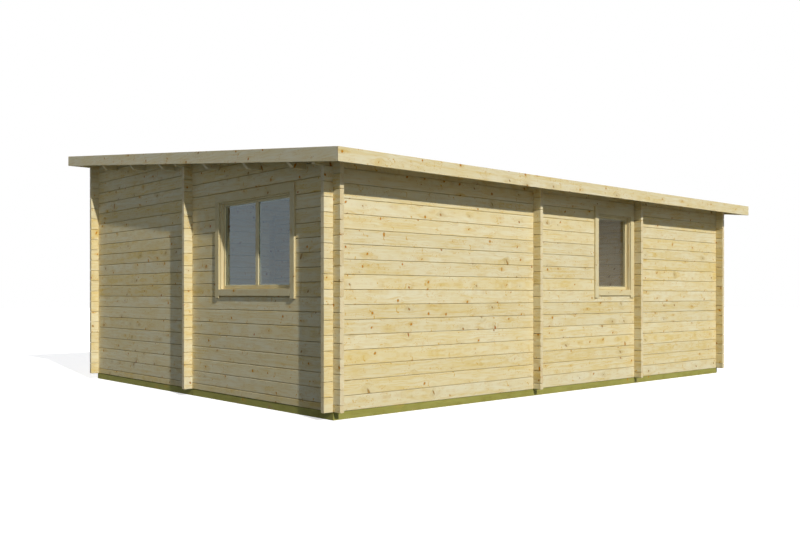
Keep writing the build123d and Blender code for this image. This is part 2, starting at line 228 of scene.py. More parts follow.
LINE_TINT = rgb(0.58, 0.33, 0.08)
FLECK_TINT = rgb(0.65, 0.385, 0.04)
KNOT_AMBER = rgb(0.62, 0.27, 0.002)
KNOT_RED = rgb(0.47, 0.12, 0.006)
KNOT_BROWN = rgb(0.45, 0.28, 0.075)
KNOT_LINE = rgb(0.34, 0.11, 0.01)
KNOT_RIM = rgb(0.2, 0.09, 0.03)
HALO_GOLD = rgb(0.68, 0.44, 0.09)
HALO_BROWN = rgb(0.50, 0.38, 0.18)
FIBRE_TINT = rgb(0.5, 0.4, 0.2)
KNOTS_PER_METRE = (4.2, 7.5)
CURLS_PER_METRE = (3.4, 8.3)
RINGS_PER_METRE = 190.0
PITH_DEPTH = (15 * MM, 75 * MM)
GRAIN_RUN = 400
LEAST_KNOT = 3 * MM
KNOT_RANGE = 10.5 * MM


def softwood(
    name, pale, warm, knot_share, knot_size=1.0, contrast=1.0, line_tint=LINE_TINT, fleck_tint=FLECK_TINT,
):
    """Planed softwood: growth rings about the pith, streaks along the grain, and knots with swirling grain."""
    material, n, shader = new_material(name)
    grain = n.add("ShaderNodeAttribute", {"attribute_name": "grain"}, {}, 1)
    tone = n.add("ShaderNodeAttribute", {"attribute_name": "tone"}, {}, 1)
    tone_a, tone_b, tone_c = n.split(tone)
    x, y, z = n.split(grain)

    # Knots: one place in each cell of about 0.24 by 0.13 m, on a share of the cells. Some are cut lengthwise.
    flat = n.join(n.times(x, KNOTS_PER_METRE[0]), n.times(y, KNOTS_PER_METRE[1]))
    voronoi = n.add("ShaderNodeTexVoronoi", {"voronoi_dimensions": "2D"}, {"Vector": flat, "Scale": 1.0}).node
    knot_x, knot_y, _ = n.split(voronoi.outputs["Position"])
    luck, kind, spread = n.split(voronoi.outputs["Color"])
    ragged = n.noise(n.stretch(grain, (60, 85, 85)), 2.0)
    ragged = n.times(n.minus(ragged, 0.5), 0.009)
    dx = n.plus(n.minus(x, n.over(knot_x, KNOTS_PER_METRE[0])), ragged)
    dy = n.minus(n.minus(y, n.over(knot_y, KNOTS_PER_METRE[1])), ragged)
    lean = n.times(n.minus(kind, 0.5), 1.1)
    leant = n.plus(dx, n.times(dy, lean))
    squat = n.ease(spread, 0.05, 0.25, 0.4, 0.95)
    away = n.length(leant, n.times(dy, squat))
    radius = n.ease(luck, 1.0 - knot_share, 1.0, 0.0, 1.0)
    radius = n.plus(LEAST_KNOT, n.times(radius, KNOT_RANGE * knot_size))
    edge = n.over(away, radius)
    core = n.ease(edge, 0.65, 1.1, 1.0, 0.0)
    rim = n.times(n.ease(edge, 0.55, 0.95), n.ease(edge, 1.0, 1.4, 1.0, 0.0))
    long_away = n.length(n.times(leant, 0.42), n.times(dy, squat))
    halo = n.ease(n.over(long_away, n.plus(radius, 0.006)), 0.3, 3.2, 1.0, 0.0)

    # Rings about the pith, pushed aside by the knots and wandering along the log.
    wander = n.noise(n.stretch(grain, (1.1, 4.0, 4.0)), 2.0)
    wander = n.times(n.minus(wander, 0.5), 0.045)
    ripple = n.times(n.minus(n.noise(n.stretch(grain, (9, 30, 30)), 2.0), 0.5), 0.006)
    pushed = n.minus(y, n.times(n.times(dy, halo), 0.8))
    ring_y = n.plus(n.plus(pushed, wander), ripple)
    pith_away = n.length(ring_y, n.plus(z, wander))
    ring = n.math("FRACT", n.times(pith_away, RINGS_PER_METRE))
    late = n.times(n.ease(ring, 0.3, 0.9), n.ease(ring, 0.93, 1.0, 1.0, 0.0))
    streak = n.streaks(x, pith_away, tone_a, 1.3, 60.0, 0.32, 0.7)
    flame = n.streaks(x, pith_away, tone_b, 6.0, 75.0, 0.4, 0.68)
    thread = n.streaks(x, pith_away, tone_c, 14.0, 230.0, 0.5, 0.75)
    patch = n.ease(n.noise(n.stretch(grain, (2.2, 9.0, 9.0)), 3.0), 0.36, 0.68)
    fibre = n.noise(n.stretch(grain, (38, 900, 900)), 2.0, 0.6)
    fleck = n.ease(n.noise(n.stretch(grain, (24, 27, 27)), 2.5, 0.55, 2.6), 0.58, 0.68)
    fleck = n.times(fleck, n.ease(n.noise(n.stretch(grain, (4, 9, 9)), 1.0), 0.47, 0.59))

    # Curls: short golden arcs of grain, in sparse cells.
    drop = n.plus(y, z)
    flat = n.join(n.times(x, CURLS_PER_METRE[0]), n.times(drop, CURLS_PER_METRE[1]))
    voronoi = n.add("ShaderNodeTexVoronoi", {"voronoi_dimensions": "2D"}, {"Vector": flat, "Scale": 1.0}).node
    curl_x, curl_y, _ = n.split(voronoi.outputs["Position"])
    curl_luck, side, size = n.split(voronoi.outputs["Color"])
    du = n.plus(n.minus(x, n.over(curl_x, CURLS_PER_METRE[0])), ragged)
    dv = n.minus(n.minus(drop, n.over(curl_y, CURLS_PER_METRE[1])), ragged)
    from_arc = n.minus(n.length(du, n.times(dv, 0.7)), n.ease(size, 0.0, 1.0, 0.008, 0.019))
    curl = n.ease(n.math("ABSOLUTE", from_arc), 0.0012, 0.0075, 1.0, 0.0)
    one_side = n.times(n.plus(du, n.times(dv, 0.5)), n.ease(side, 0.49, 0.51, -1.0, 1.0))
    curl = n.times(curl, n.ease(one_side, -0.004, 0.008))
    curl = n.times(curl, n.ease(n.noise(n.stretch(grain, (48, 48, 48)), 1.5), 0.38, 0.6, 0.1, 1.0))
    curl = n.times(curl, n.ease(curl_luck, 0.5, 0.7, 0.0, 0.95))

    # Colour of the clear wood.
    share = n.plus(n.times(streak, 0.42 * contrast), n.times(patch, 0.26 * contrast))
    share = n.plus(share, n.times(flame, 0.34 * contrast))
    share = n.plus(share, n.times(n.minus(tone_b, 0.5), 0.34 * contrast))
    colour = n.blend(share, pale, warm)
    lines = n.times(n.plus(n.times(late, 0.6), thread), n.plus(flame, 0.25))
    colour = n.blend(n.times(lines, 0.22 * contrast), colour, line_tint)
    colour = n.blend(n.times(fibre, 0.1), colour, FIBRE_TINT, "MULTIPLY")
    colour = n.blend(n.times(fleck, 0.62 * contrast), colour, fleck_tint)
    colour = n.blend(n.times(curl, contrast), colour, fleck_tint)

    # Colour of the knots and of the grain about them.
    halo_share = n.times(halo, n.plus(0.12, n.times(n.plus(thread, flame), 0.55)))
    halo_luck = n.ease(luck, 0.7 - knot_share, 1.0 - 0.3 * knot_share, 0.0, 0.55)
    halo_tint = n.blend(n.ease(kind, 0.6, 0.8), HALO_GOLD, HALO_BROWN)
    colour = n.blend(n.times(halo_share, halo_luck), colour, halo_tint)
    knot_colour = n.blend(n.ease(kind, 0.58, 0.7), KNOT_AMBER, KNOT_RED)
    knot_colour = n.blend(n.ease(kind, 0.7, 0.82), knot_colour, KNOT_BROWN)
    knot_ring = n.math("FRACT", n.times(edge, 3.0))
    knot_colour = n.blend(n.times(knot_ring, 0.35), knot_colour, KNOT_LINE)
    core_luck = n.ease(luck, 1.0 - knot_share, 1.0 - 0.8 * knot_share)
    colour = n.blend(n.times(core, core_luck), colour, knot_colour)
    rim_luck = n.ease(luck, 1.0 - knot_share, 1.0, 0.0, 0.3)
    colour = n.blend(n.times(rim, rim_luck), colour, KNOT_RIM)

    # Ends show the rings. Each piece of wood has its own level.
    end_grain = n.add("ShaderNodeAttribute", {"attribute_name": "end_grain"}, {}, 2)
    end_share = n.times(n.plus(late, n.times(patch, 0.5)), 0.5)
    end_colour = n.blend(end_share, pale, line_tint)
    colour = n.blend(n.times(end_grain, 0.7), colour, end_colour)
    level = n.plus(0.955, n.times(tone_c, 0.07))
    colour = n.stretch(colour, n.join(level, level, level))
    n.tree.links.new(colour, shader.inputs["Base Color"])

    # Surface.
    rough = n.minus(n.plus(0.6, n.times(fibre, 0.16)), n.times(core, 0.16))
    n.tree.links.new(rough, shader.inputs["Roughness"])
    shader.inputs["Specular IOR Level"].default_value = 0.12
    height = n.plus(n.times(late, 0.5), n.times(fibre, 0.5))
    height = n.plus(height, n.times(core, 0.6))
    bump = n.add("ShaderNodeBump", {}, {"Height": height, "Strength": 0.35, "Distance": 0.0006})
    n.tree.links.new(bump, shader.inputs["Normal"])
    return material


def roofing_felt():
    """Mineral felt: specks, clouds, marks that water leaves down the slope, and a tone for each strip."""
    material, n, shader = new_material("roofing_felt")
    place = n.add("ShaderNodeTexCoord", {}, {}, 3)
    speck = n.noise(n.stretch(place, (420, 420, 420)), 2.0, 0.7)
    cloud = n.noise(n.stretch(place, (1.3, 1.3, 1.3)), 4.0, 0.6)
    strip, _, _ = n.split(n.add("ShaderNodeAttribute", {"attribute_name": "tone"}, {}, 1))
    colour = n.blend(n.ease(speck, 0.35, 0.7), rgb(0.022, 0.023, 0.025), rgb(0.105, 0.108, 0.112))
    colour = n.blend(n.times(n.ease(cloud, 0.45, 0.75), 0.35), colour, rgb(0.10, 0.10, 0.095))
    colour = n.blend(n.times(strip, 0.6), colour, rgb(0.095, 0.098, 0.104))
    washed = n.ease(n.noise(n.stretch(place, (9, 0.7, 0.7)), 3.0, 0.6), 0.45, 0.75)
    colour = n.blend(n.times(washed, 0.3), colour, rgb(0.13, 0.128, 0.118))
    n.tree.links.new(colour, shader.inputs["Base Color"])
    n.tree.links.new(n.ease(speck, 0.3, 0.7, 0.98, 0.8), shader.inputs["Roughness"])
    bump = n.add("ShaderNodeBump", {}, {"Height": speck, "Strength": 0.6, "Distance": 0.0012})
    n.tree.links.new(bump, shader.inputs["Normal"])
    return material


def pane_glass(name, index, gloss_colour, dust_top, dust_foot):
    """Float glass: sharp reflections on its outer faces in gloss_colour (a blue gloss_colour is a painted sky
    reflection), and a thin film of dust, thicker towards the sill.
    """
    material, n, shader = new_material(name)
    n.tree.nodes.remove(shader)
    place = n.add("ShaderNodeTexCoord", {}, {}, 3)
    _, _, up = n.split(place)
    cloud = n.noise(n.stretch(place, (5, 5, 3)), 3.0, 0.6)
    dust = n.times(n.ease(up, 2.0, 1.2, dust_top, dust_foot), n.ease(cloud, 0.2, 0.8, 0.8, 1.2))
    film = n.add("ShaderNodeBsdfDiffuse", {}, {"Color": rgb(0.74, 0.64, 0.46)})
    lamp_ray = n.add("ShaderNodeLightPath", {}, {}).node.outputs["Is Shadow Ray"]
    tint = n.blend(lamp_ray, rgb(0.93, 0.95, 0.945), rgb(0.55, 0.57, 0.57))
    clear = n.add("ShaderNodeBsdfTransparent", {}, {"Color": tint})
    body = n.add("ShaderNodeMixShader", {}, {0: dust, 1: clear, 2: film})
    # The gloss colour tints the reflection of the white world; a blue tint is a painted sky reflection.
    gloss = n.add("ShaderNodeBsdfGlossy", {}, {"Color": gloss_colour, "Roughness": 0.02})
    fresnel = n.add("ShaderNodeFresnel", {}, {"IOR": index})
    inside = n.add("ShaderNodeNewGeometry", {}, {}).node.outputs["Backfacing"]
    front = n.add("ShaderNodeMixShader", {}, {0: fresnel, 1: body, 2: gloss})
    both = n.add("ShaderNodeMixShader", {}, {0: inside, 1: front, 2: clear})
    n.tree.links.new(both, n.tree.nodes["Material Output"].inputs["Surface"])
    return material


def satin_steel():
    """Brushed steel."""
    material, n, shader = new_material("satin_steel")
    place = n.add("ShaderNodeTexCoord", {}, {}, 3)
    brushed = n.noise(n.stretch(place, (1500, 900, 60)), 2.0, 0.6)
    colour = n.blend(brushed, rgb(0.42, 0.42, 0.41), rgb(0.62, 0.62, 0.6))
    n.tree.links.new(colour, shader.inputs["Base Color"])
    n.tree.links.new(n.ease(brushed, 0.2, 0.8, 0.24, 0.4), shader.inputs["Roughness"])
    shader.inputs["Metallic"].default_value = 1.0
    bump = n.add("ShaderNodeBump", {}, {"Height": brushed, "Strength": 0.15, "Distance": 0.0002})
    n.tree.links.new(bump, shader.inputs["Normal"])
    return material


LOG_WOOD = softwood("log_wood", rgb(0.845, 0.78, 0.54), rgb(0.765, 0.60, 0.235), 0.52)
JOINERY_WOOD = softwood("joinery_wood", rgb(0.755, 0.675, 0.42), rgb(0.67, 0.525, 0.215), 0.45, 0.9, 0.6)
ROOF_WOOD = softwood("roof_wood", rgb(0.87, 0.815, 0.60), rgb(0.80, 0.66, 0.32), 0.6)
FLOOR_WOOD = softwood("floor_wood", rgb(0.74, 0.63, 0.37), rgb(0.63, 0.48, 0.20), 0.45)
TREATED_WOOD = softwood(
    "treated_wood", rgb(0.40, 0.385, 0.105), rgb(0.32, 0.305, 0.07), 0.25, 1.0, 1.1,
    rgb(0.2, 0.16, 0.03), rgb(0.36, 0.34, 0.07),
)
FELT = roofing_felt()
# The blue reflection tint and high index of this glass paint a sky reflection on its panes, because the world
# seen in their gloss is white.
GLASS_PAINTED_SKY_REFLECTION = pane_glass("glass_painted_sky_reflection", 1.95, rgb(0.62, 0.83, 1.0), 0.01, 0.02)
CLEAR_GLASS = pane_glass("clear_glass", 1.42, rgb(0.9, 0.92, 0.85), 0.008, 0.1)
STEEL = satin_steel()
FINISH = {
    "log_timber": LOG_WOOD,
    "joinery_timber": JOINERY_WOOD,
    "roof_timber": ROOF_WOOD,
    "floor_timber": FLOOR_WOOD,
    "bearer_timber": TREATED_WOOD,
    "roofing_membrane": FELT,
    "window_glass": GLASS_PAINTED_SKY_REFLECTION,
    "door_metal": STEEL,
}
CLEAR_PANES = ("rear_window_glass", "door_glass")
SLOT_OF = {part["node"]: part["material_slot"] for part in frame["record"]["subparts"]}


class Builder:
    """Gathers solids into one mesh, with each solid's own grain coordinates and tone."""

    def __init__(self):
        self.points, self.faces, self.grain, self.tone, self.end_grain = [], [], [], [], []

    def take(self, solid):
        """Adds a bmesh, with its grain along its longest side, and frees it."""
        bmesh.ops.dissolve_degenerate(solid, dist=WELD, edges=solid.edges)
        # A second bevel may order its corners differently in each run, so they are sorted.
        corners = sorted(solid.verts, key=lambda v: tuple(v.co))
        points = [v.co.copy() for v in corners]
        low = [min(p[i] for p in points) for i in range(3)]
        size = [max(p[i] for p in points) - low[i] for i in range(3)]
        along, across, deep = sorted(range(3), key=lambda i: -size[i])
        pith_side = rng.choice((-1, 1))
        pith_across = low[across] + size[across] * rng.uniform(0.1, 0.9)
        pith_deep = low[deep] + size[deep] / 2 + pith_side * rng.uniform(*PITH_DEPTH)
        run = rng.uniform(0, GRAIN_RUN)
        tone = (rng.random(), rng.random(), rng.random())
        place = {v: len(self.points) + i for i, v in enumerate(corners)}
        for p, v in zip(points, corners):
            self.grain.append((p[along] + run, p[across] - pith_across, p[deep] - pith_deep))
            self.tone.append(tone)
            self.end_grain.append(float(any(abs(f.normal[along]) > 0.95 for f in v.link_faces)))
        self.points.extend(points)
        self.faces.extend(sorted([place[v] for v in f.verts] for f in solid.faces))
        solid.free()

    def piece(self, name, slot, smooth=False):
        """Makes the object, which rides on the building."""
        mesh = bpy.data.meshes.new(name)
        mesh.from_pydata(self.points, [], self.faces)
        for key, values in (("grain", self.grain), ("tone", self.tone)):
            data = mesh.attributes.new(key, "FLOAT_VECTOR", "POINT").data
            data.foreach_set("vector", [c for value in values for c in value])
        mesh.attributes.new("end_grain", "FLOAT", "POINT").data.foreach_set("value", self.end_grain)
        mesh.materials.append(FINISH[slot])
        if smooth:
            mesh.polygons.foreach_set("use_smooth", [True] * len(mesh.polygons))
            mesh.set_sharp_from_angle(angle=SMOOTH_LIMIT)
        obj = bpy.data.objects.new(name, mesh)
        bpy.context.scene.collection.objects.link(obj)
        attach(obj, "root")
        return obj


def cad_solids(node):
    """Each solid of a CAD node as a bmesh with one face per plane."""
    whole = bmesh.new()
    whole.from_mesh(frame["nodes"][node].data)
    bmesh.ops.remove_doubles(whole, verts=whole.verts, dist=WELD)
    bmesh.ops.dissolve_limit(whole, angle_limit=0.01, verts=whole.verts, edges=whole.edges)
    left = set(whole.faces)
    for start in list(whole.faces):
        if start not in left:
            continue
        group, queue = [], [start]
        left.discard(start)
        while queue:
            face = queue.pop()
            group.append(face)
            near = {f for e in face.edges for f in e.link_faces} & left
            left -= near
            queue.extend(sorted(near, key=lambda f: f.index))
        solid = bmesh.new()
        made = {}
        for face in group:
            for v in face.verts:
                if v not in made:
                    made[v] = solid.verts.new(v.co)
            solid.faces.new([made[v] for v in face.verts])
        solid.normal_update()
        yield solid
    whole.free()


def sharp_edges(solid):
    """The outer corners of a solid."""
    return [e for e in solid.edges if e.is_manifold and e.calc_face_angle_signed() > SHARP]


def bevel(solid, edges, size, steps=1):
    if edges:
        bmesh.ops.bevel(
            solid, geom=edges, offset=size, offset_type="OFFSET", segments=steps, profile=0.5, affect="EDGES",
            clamp_overlap=True,
        )
        solid.normal_update()


def box_of(solid):
    """The lowest and highest corners of a solid."""
    points = [v.co for v in solid.verts]
    return Vector(map(min, *points)), Vector(map(max, *points))


def log_axis(low, high):
    return 0 if high.x - low.x > high.y - low.y else 1


def joint_edges(solid):
    """The edges along the top and bottom of a log, where it meets the next ones."""
    low, high = box_of(solid)
    along = log_axis(low, high)
    found = []
    for e in sharp_edges(solid):
        a, b = e.verts[0].co, e.verts[1].co
        level = abs(a.z - b.z) <= WELD
        at_joint = abs(a.z - low.z) < WELD or abs(a.z - high.z) < WELD
        if level and at_joint and abs((a - b)[along]) > LEAST_JOINT:
            found.append(e)
    return found


def end_edges(solid):
    """The edges under the two ends of a log."""
    low, high = box_of(solid)
    along = log_axis(low, high)
    found = []
    for e in sharp_edges(solid):
        a, b = e.verts[0].co, e.verts[1].co
        level = abs(a.z - b.z) <= WELD
        at_end = any(abs(a[along] - end) + abs(b[along] - end) < WELD for end in (low[along], high[along]))
        if level and at_end and abs(a.z - low.z) < WELD:
            found.append(e)
    return found


def run_in(solid, axis, size, further):
    """Moves the inner edge of a bevel under a log further in, so that the joint is in shade."""
    low, high = box_of(solid)
    for v in solid.verts:
        if abs(v.co.z - low.z) < WELD:
            if abs(v.co[axis] - low[axis] - size) < CLOSE:
                v.co[axis] += further
            elif abs(high[axis] - v.co[axis] - size) < CLOSE:
                v.co[axis] -= further


def shape_log(solid):
    """Bevels a log where it meets the next ones."""
    along = log_axis(*box_of(solid))
    size = CROSS_WALL_JOINT if along == 1 else LONG_WALL_JOINT
    bevel(solid, joint_edges(solid), size)
    run_in(solid, 1 - along, size, JOINT_UNDERCUT)
    bevel(solid, end_edges(solid), END_JOINT)
    run_in(solid, along, END_JOINT, END_UNDERCUT)


def outer_edges(solid, node, axis, way):
    """The edges along a member, at the outer face of its frame, sash or casing."""
    low, high = box_of(solid)
    along = max(range(3), key=lambda i: high[i] - low[i])
    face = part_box(node)[way > 0][axis]
    return [e for e in edges_along(solid, along) if all(abs(v.co[axis] - face) < CLOSE for v in e.verts)]


def dress(node, is_log=False):
    """Replaces a CAD node by a copy with eased edges and its own grain in each piece of wood."""
    made = Builder()
    opening, _, part = node.rpartition("_window_")
    for solid in cad_solids(node):
        if is_log:
            shape_log(solid)
        if opening:
            bevel(solid, outer_edges(solid, node, *OUTWARD[opening]), CHAMFER[part])
        bevel(solid, sharp_edges(solid), EASED_EDGE)
        made.take(solid)
    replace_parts(made.piece(node + "_timber", SLOT_OF[node]), node)


def slab(low, high, slope=0.0):
    """A box whose bottom and top rise by slope along y."""
    solid = bmesh.new()
    rise = (high[1] - low[1]) * slope
    corners = [
        solid.verts.new((x, y, z + (rise if y == high[1] else 0.0)))
        for x in (low[0], high[0]) for y in (low[1], high[1]) for z in (low[2], high[2])
    ]
    for quad in ((0, 1, 3, 2), (4, 6, 7, 5), (0, 4, 5, 1), (2, 3, 7, 6), (0, 2, 6, 4), (1, 5, 7, 3)):
        solid.faces.new([corners[i] for i in quad])
    solid.normal_update()
    return solid


def edges_along(solid, axis):
    """The edges that run along an axis."""
    found = []
    for e in solid.edges:
        line = e.verts[0].co - e.verts[1].co
        if abs(line[axis]) > 0.9 * line.length:
            found.append(e)
    return found


def boards(made, low, high, along, width, joint, slope=0.0):
    """Fills a box with boards that run along one axis, with small V joints between them."""
    across = 1 - along
    count = round((high[across] - low[across]) / width)
    step = (high[across] - low[across]) / count
    for i in range(count):
        a, b = list(low), list(high)
        a[across] = low[across] + i * step + BOARD_GAP / 2
        b[across] = low[across] + (i + 1) * step - BOARD_GAP / 2
        solid = slab(a, b, slope)
        bevel(solid, edges_along(solid, along), joint)
        made.take(solid)


def roof_boards():
    """The roof deck as boards that run down the slope."""
    low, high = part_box("roof_deck")
    thick = high.z - low.z - (high.y - low.y) * ROOF_SLOPE
    made = Builder()
    boards(made, low, (high.x, high.y, low.z + thick), 1, ROOF_BOARD, ROOF_BOARD_JOINT, ROOF_SLOPE)
    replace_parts(made.piece("roof_boards", "roof_timber"), "roof_deck")


def floor_boards():
    """The floor of each room as boards that run along the house."""
    made = Builder()
    for room in cad_solids("floor_deck"):
        low, high = box_of(room)
        room.free()
        boards(made, low, high, 0, FLOOR_BOARD, FLOOR_BOARD_JOINT)
    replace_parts(made.piece("floor_boards", "floor_timber"), "floor_deck")


def roof_felt():
    """Strips of felt along the roof, each lapped over the one below."""
    low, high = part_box("roof_covering")
    thick = high.z - low.z - (high.y - low.y) * ROOF_SLOPE
    made = Builder()
    step = (high.y - low.y) / FELT_STRIPS
    for i in range(FELT_STRIPS):
        lift = FELT_LIFT if i else 0.0
        rear = low.y + i * step
        front = min(high.y, rear + step + FELT_LAP)
        base = low.z + (rear - low.y) * ROOF_SLOPE
        slope = ROOF_SLOPE - lift / (front - rear)
        solid = slab((low.x, rear, base + lift), (high.x, front, base + lift + thick), slope)
        bevel(solid, edges_along(solid, 0), FELT_EDGE)
        made.take(solid)
    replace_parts(made.piece("roof_felt", "roofing_membrane"), "roof_covering")


def strip_ring(made, axis, depth, sides, heights, width, ease, sill=True):
    """Strips around an opening: depth, sides and heights are its two limits along axis, across it and up."""
    across = 1 - axis
    (left, right), (foot, head) = sides, heights
    strips = [
        (left, left + width, foot, head), (right - width, right, foot, head),
        (left + width, right - width, head - width, head),
    ]
    if sill:
        strips.append((left + width, right - width, foot, foot + width))
    for a, b, c, d in strips:
        ends = [[0, 0, c], [0, 0, d]]
        for end, place, deep in zip(ends, (a, b), sorted(depth)):
            end[across], end[axis] = place, deep
        solid = slab(*ends)
        bevel(solid, edges_along(solid, 2 if d - c > b - a else across), ease, 2)
        made.take(solid)


def glazing_beads(opening):
    """Small strips that hold each pane from the inside."""
    axis, way = OUTWARD[opening]
    low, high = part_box(opening + "_window_glass")
    across = 1 - axis
    inset = GLASS_REBATE + PIECE_GAP
    back = (low if way > 0 else high)[axis] - way * PIECE_GAP
    left, right = low[across] + inset, high[across] - inset
    middle, bar = (left + right) / 2, MULLION / 2 + PIECE_GAP
    lights = [(left, right)]
    if right - left > DOUBLE_LIGHT:
        lights = [(left, middle - bar), (middle + bar, right)]
    made = Builder()
    for sides in lights:
        depth = (back, back - way * BEAD)
        strip_ring(made, axis, depth, sides, (low.z + inset, high.z - inset), BEAD, BEAD_EASE)
    made.piece(opening + "_window_beads", "joinery_timber")


def frame_stops(opening):
    """Strips at the sides and head of a window's frame, in front of its sash."""
    axis, way = OUTWARD[opening]
    low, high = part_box(opening + "_window_sash")
    sash_face = (high if way > 0 else low)[axis]
    frame_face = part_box(opening + "_window_frame")[way > 0][axis]
    depth = (sash_face + way * PIECE_GAP, frame_face - way * STOP_SETBACK)
    sides = (low[1 - axis], high[1 - axis])
    made = Builder()
    strip_ring(made, axis, depth, sides, (low.z, high.z), FRAME_STOP, EASED_EDGE, sill=False)
    made.piece(opening + "_window_stops", "joinery_timber")


def prism(outline, low, high):
    """A solid from an outline in x and z, between two values of y."""
    solid = bmesh.new()
    rings = [[solid.verts.new((x, y, z)) for x, z in outline] for y in (low, high)]
    solid.faces.new(rings[0])
    solid.faces.new(rings[1][::-1])
    for i in range(len(outline)):
        j = (i + 1) % len(outline)
        solid.faces.new((rings[0][j], rings[0][i], rings[1][i], rings[1][j]))
    bmesh.ops.recalc_face_normals(solid, faces=solid.faces)
    return solid


def arc(x, z, radius, start, end, steps):
    """Points on part of a circle, between two angles in degrees."""
    turns = [math.radians(start + (end - start) * i / steps) for i in range(steps + 1)]
    return [(x + radius * math.cos(t), z + radius * math.sin(t)) for t in turns]


def tube(path, radii, sides=20):
    """A round bar along a path, with a radius at each point of it."""
    solid = bmesh.new()
    rings = []
    for i, (point, radius) in enumerate(zip(path, radii)):
        ahead = (path[min(i + 1, len(path) - 1)] - path[max(i - 1, 0)]).normalized()
        up = Vector((0, 0, 1)) if abs(ahead.z) < 0.9 else Vector((1, 0, 0))
        out = ahead.cross(up).normalized()
        up = out.cross(ahead)
        turns = [2 * math.pi * k / sides for k in range(sides)]
        rings.append([solid.verts.new(point + radius * (math.cos(t) * out + math.sin(t) * up)) for t in turns])
    for a, b in zip(rings, rings[1:]):
        for k in range(sides):
            solid.faces.new((a[k], a[k - 1], b[k - 1], b[k]))
    solid.faces.new(rings[0])
    solid.faces.new(rings[-1])
    bmesh.ops.recalc_face_normals(solid, faces=solid.faces)
    return solid


def rod(a, b, radius, ease):
    """A straight round bar with eased ends."""
    a, b = Vector(a), Vector(b)
    step = (b - a).normalized() * ease
    return tube([a, a + step, b - step, b], [radius - ease, radius, radius, radius - ease])


def door_handle():
    """A rounded plate with a bent lever and a key cylinder."""
    plate_width, plate_thick, plate_corner, plate_edge = 38 * MM, 6 * MM, 9 * MM, 1.5 * MM
    rose_radius, rose_thick = 14 * MM, 5 * MM
    lever_radius, lever_inset, lever_bend, tip_length = 8.5 * MM, 9 * MM, 14 * MM, 8 * MM
    key_drop, key_slot, key_radius, key_thick = 72 * MM, 0.8 * MM, 8.5 * MM, 2 * MM

    low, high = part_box("door_handle")
    plate_front, lever_y = low.y + plate_thick, high.y - lever_inset
    x, z = low.x + plate_width / 2, (low.z + high.z) / 2
    made = Builder()
    plate = slab(low, (low.x + plate_width, plate_front, high.z))
    bevel(plate, edges_along(plate, 1), plate_corner, 6)
    front_edges = [e for e in plate.edges if all(abs(v.co.y - plate_front) < WELD for v in e.verts)]
    bevel(plate, front_edges, plate_edge, 2)
    made.take(plate)
    made.take(rod((x, plate_front, z), (x, plate_front + rose_thick, z), rose_radius, plate_edge))

    path = [Vector((x, plate_front, z))]
    for px, py in arc(x + lever_bend, lever_y - lever_bend, lever_bend, 180, 90, 8):
        path.append(Vector((px, py, z)))
    radii = [lever_radius] * len(path)
    for share in range(9):
        turn = math.radians(share * 11)
        path.append(Vector((high.x - tip_length + tip_length * math.sin(turn), lever_y, z)))
        radii.append(lever_radius * max(math.cos(turn), 0.05))
    made.take(tube(path, radii))

    for start, shift in ((0, key_slot), (180, -key_slot)):
        half = arc(x, z - key_drop + shift, key_radius, start, start + 180, 14)
        made.take(prism(half, plate_front, plate_front + key_thick))
    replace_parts(made.piece("door_lever", "door_metal", smooth=True), "door_handle")


def door_hinges():
    """Three hinges, each a flap with four screws and a barrel in three parts."""
    reach, flap_left, flap_right, flap_thick, flap_corner = 50 * MM, 42 * MM, 8 * MM, 2.3 * MM, 5 * MM
    barrel_radius, barrel_left, barrel_out, barrel_edge = 6.5 * MM, 6 * MM, 7.5 * MM, 1 * MM
    barrel_step, barrel_length, end_distance = 33.5 * MM, 33 * MM, 200 * MM
    screws = ((20 * MM, -36 * MM), (34 * MM, -12 * MM), (20 * MM, 12 * MM), (34 * MM, 36 * MM))
    screw_radius, screw_out, screw_head, screw_edge = 4 * MM, 2 * MM, 1.6 * MM, 0.8 * MM

    low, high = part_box("door_leaf")
    made = Builder()
    x, y = high.x - barrel_left, high.y + barrel_out
    for z in (low.z + end_distance, (low.z + high.z) / 2, high.z - end_distance):
        flap_low = (high.x - flap_left, high.y + PIECE_GAP, z - reach)
        flap = slab(flap_low, (high.x - flap_right, high.y + flap_thick, z + reach))
        bevel(flap, edges_along(flap, 1), flap_corner, 3)
        made.take(flap)
        for part in range(3):
            foot = z - reach + part * barrel_step
            made.take(rod((x, y, foot), (x, y, foot + barrel_length), barrel_radius, barrel_edge))
        for screw_left, screw_up in screws:
            place = Vector((high.x - screw_left, high.y + screw_out, z + screw_up))
            made.take(rod(place, place + Vector((0, screw_head, 0)), screw_radius, screw_edge))
    made.piece("door_hinges", "door_metal", smooth=True)


